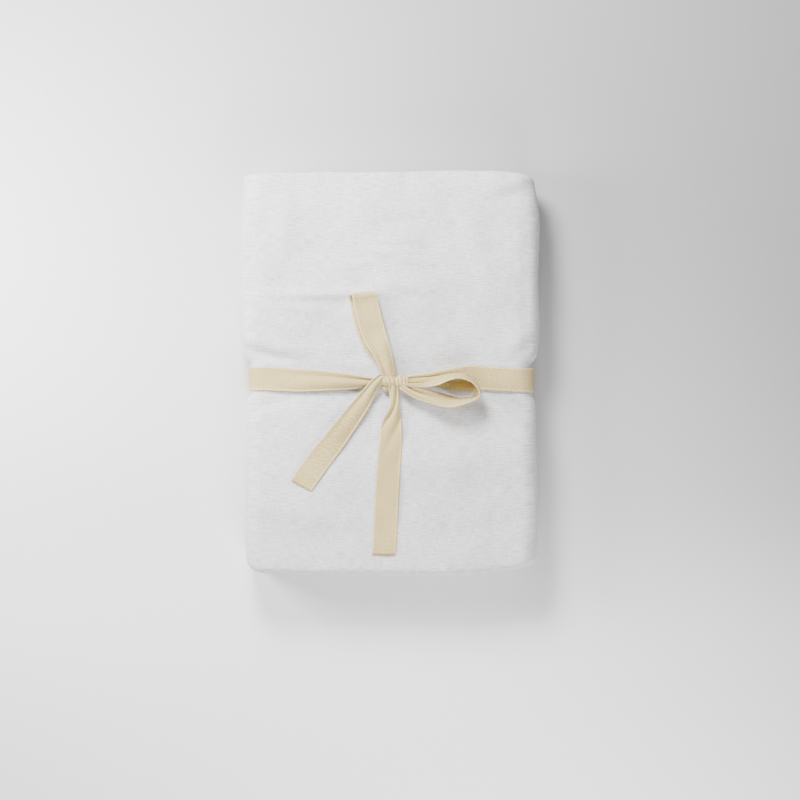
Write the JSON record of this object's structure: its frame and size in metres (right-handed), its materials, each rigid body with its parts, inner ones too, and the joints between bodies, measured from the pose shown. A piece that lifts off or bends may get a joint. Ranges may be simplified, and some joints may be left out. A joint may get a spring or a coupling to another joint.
{
  "type": "folded crib mattress protector tied with tape",
  "caption": "Cot-size cotton flannel mattress protector folded into a flat bundle and tied round the middle with a twill tape bow.",
  "frame": {"origin": "under the middle of the bundle, on the surface that it lies on", "axes": "+X across the face to the right, +Y up the face towards the folded top edge, +Z out of the face"},
  "size_m": [0.2396, 0.3256, 0.0626],
  "materials": {
    "flannel": "matt brushed cotton flannel, plain weave under a soft nap",
    "twill_tape": "unbleached cotton twill tape with flecks and plain selvedges"
  },
  "bodies": {
    "root": {"protector": "flannel", "tie_tape": "twill_tape"}
  },
  "joints": []
}
